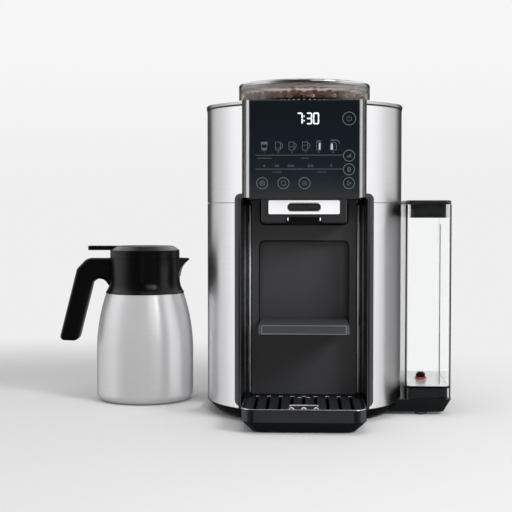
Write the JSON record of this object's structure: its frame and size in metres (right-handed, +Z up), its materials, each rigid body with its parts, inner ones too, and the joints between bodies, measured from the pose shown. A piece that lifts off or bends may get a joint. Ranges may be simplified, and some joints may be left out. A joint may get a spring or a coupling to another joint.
{
  "type": "drip coffee maker",
  "caption": "Drum-shaped steel coffee maker with grinder hopper, touch display, fold-down cup shelf, drip tray, lift-off side water tank and a thermal carafe with thumb lever.",
  "frame": {"origin": "middle of the set's footprint on the counter", "axes": "+X to the right seen from the front (the tank's side), +Y to the back, +Z up; the bay faces -Y"},
  "size_m": [0.5558, 0.34, 0.446],
  "materials": {
    "brushed_steel": "brushed",
    "polished_chrome": "polished",
    "trim_silver": "satin",
    "gloss_black": "gloss",
    "satin_black": "satin",
    "panel_grey": "satin",
    "black_glass": "gloss",
    "smoked_clear": "clear",
    "tank_clear": "clear",
    "rubber_grey": "matte",
    "seal_black": "matte",
    "signal_red": "satin",
    "carafe_steel": "satin",
    "machined_steel": "machined",
    "cast_aluminium": "cast",
    "inner_white": "satin",
    "board_green": "satin",
    "hose_clear": "satin"
  },
  "bodies": {
    "machine": {"base_pan": "satin_black", "rubber_feet": "rubber_grey", "tank_dock": "satin_black", "bay_frame": "gloss_black", "mid_deck": "inner_white", "lower_sheets": "brushed_steel", "upper_sheets": "brushed_steel", "rear_cover": "satin_black", "case_screws": "machined_steel", "top_deck": "satin_black", "top_trim": "trim_silver", "hopper": "smoked_clear", "display_housing": "gloss_black", "display_glass": "black_glass", "circuit_boards": "board_green", "trim_rods": "polished_chrome", "spout_housing": "panel_grey", "spout_plate": "polished_chrome", "spout_nozzle": "satin_black", "grinder_housing": "inner_white", "ring_burr": "machined_steel", "gear_case": "inner_white", "grinder_motor": "machined_steel", "grounds_chute": "inner_white", "brew_chamber": "inner_white", "brew_motor": "machined_steel", "water_pump": "inner_white", "flow_meter": "inner_white", "heater": "cast_aluminium", "hoses": "hose_clear", "power_inlet": "satin_black"},
    "hopper_cover": {"hopper_lid": "gloss_black", "lid_seal": "seal_black"},
    "burr": {"cone_burr": "machined_steel", "burr_shaft": "machined_steel", "drive_gear": "inner_white"},
    "pinion": {"motor_pinion": "machined_steel"},
    "piston": {"brew_piston": "inner_white"},
    "spindle": {"brew_spindle": "machined_steel"},
    "drawer": {"drip_tray": "satin_black", "bay_panel": "panel_grey", "shelf_rod": "machined_steel", "grounds_bin": "gloss_black"},
    "shelf": {"cup_shelf": "panel_grey", "shelf_plate": "panel_grey"},
    "grid": {"drip_grid": "satin_black"},
    "float": {"tray_float": "signal_red"},
    "rocker": {"switch_rocker": "satin_black"},
    "tank": {"water_tank": "tank_clear", "tank_pin": "machined_steel"},
    "tank_cover": {"tank_lid": "gloss_black"},
    "valve": {"tank_valve": "satin_black", "valve_seal": "signal_red"},
    "carafe": {"carafe_shell": "carafe_steel", "carafe_liner": "carafe_steel", "carafe_collar": "satin_black", "carafe_handle": "satin_black"},
    "carafe_cover": {"carafe_lid": "satin_black", "lever_pin": "machined_steel"},
    "lever": {"carafe_lever": "satin_black"}
  },
  "joints": [
    {"name": "hopper_lid_lift", "type": "slide", "parent": "machine", "child": "hopper_cover", "axis": [0, 0, 1], "range_m": [0, 0.08]},
    {"name": "burr_spin", "type": "hinge", "parent": "machine", "child": "burr", "pos_m": [0.07892, -0.002, 0.293], "axis": [0, 0, 1], "continuous": true},
    {"name": "pinion_spin", "type": "hinge", "parent": "machine", "child": "pinion", "pos_m": [0.07892, 0.035, 0.293], "axis": [0, 0, 1], "continuous": true},
    {"name": "piston_stroke", "type": "slide", "parent": "machine", "child": "piston", "axis": [0, 0, 1], "range_m": [0, 0.025]},
    {"name": "spindle_turn", "type": "hinge", "parent": "machine", "child": "spindle", "pos_m": [0.03042, -0.002, 0.176], "axis": [0, 0, 1], "range_deg": [-1800.01, 0]},
    {"name": "drawer_slide", "type": "slide", "parent": "machine", "child": "drawer", "axis": [0, -1, 0], "range_m": [0, 0.16]},
    {"name": "shelf_fold", "type": "hinge", "parent": "drawer", "child": "shelf", "pos_m": [0.07892, -0.0369, 0.1262], "axis": [-1, 0, 0], "range_deg": [0, 90]},
    {"name": "grid_lift", "type": "slide", "parent": "drawer", "child": "grid", "axis": [0, 0, 1], "range_m": [0, 0.05]},
    {"name": "float_rise", "type": "slide", "parent": "drawer", "child": "float", "axis": [0, 0, 1], "range_m": [0, 0.004]},
    {"name": "switch_rock", "type": "hinge", "parent": "machine", "child": "rocker", "pos_m": [0.06092, 0.163, 0.045], "axis": [-1, 0, 0], "range_deg": [0, 14]},
    {"name": "tank_lift", "type": "slide", "parent": "machine", "child": "tank", "axis": [0, 0, 1], "range_m": [0, 0.25]},
    {"name": "tank_lid_open", "type": "hinge", "parent": "tank", "child": "tank_cover", "pos_m": [0.24692, 0.1242, 0.286], "axis": [-1, 0, 0], "range_deg": [0, 95]},
    {"name": "valve_lift", "type": "slide", "parent": "tank", "child": "valve", "axis": [0, 0, 1], "range_m": [0, 0.004]},
    {"name": "carafe_lift", "type": "slide", "parent": "machine", "child": "carafe", "axis": [0, 0, 1], "range_m": [0, 0.25]},
    {"name": "carafe_lid_lift", "type": "slide", "parent": "carafe", "child": "carafe_cover", "axis": [0, 0, 1], "range_m": [0, 0.06]},
    {"name": "lever_press", "type": "hinge", "parent": "carafe_cover", "child": "lever", "pos_m": [-0.18378, 0.095, 0.2196], "axis": [0, -1, 0], "range_deg": [0, 8], "stiffness_Nm_per_rad": 0.5, "springref_deg": -11.46}
  ],
  "couplings": [
    {"joint": "pinion_spin", "follows": "burr_spin", "ratio": -4.2857},
    {"joint": "spindle_turn", "follows": "piston_stroke", "rad_per_m": -1256.6}
  ]
}
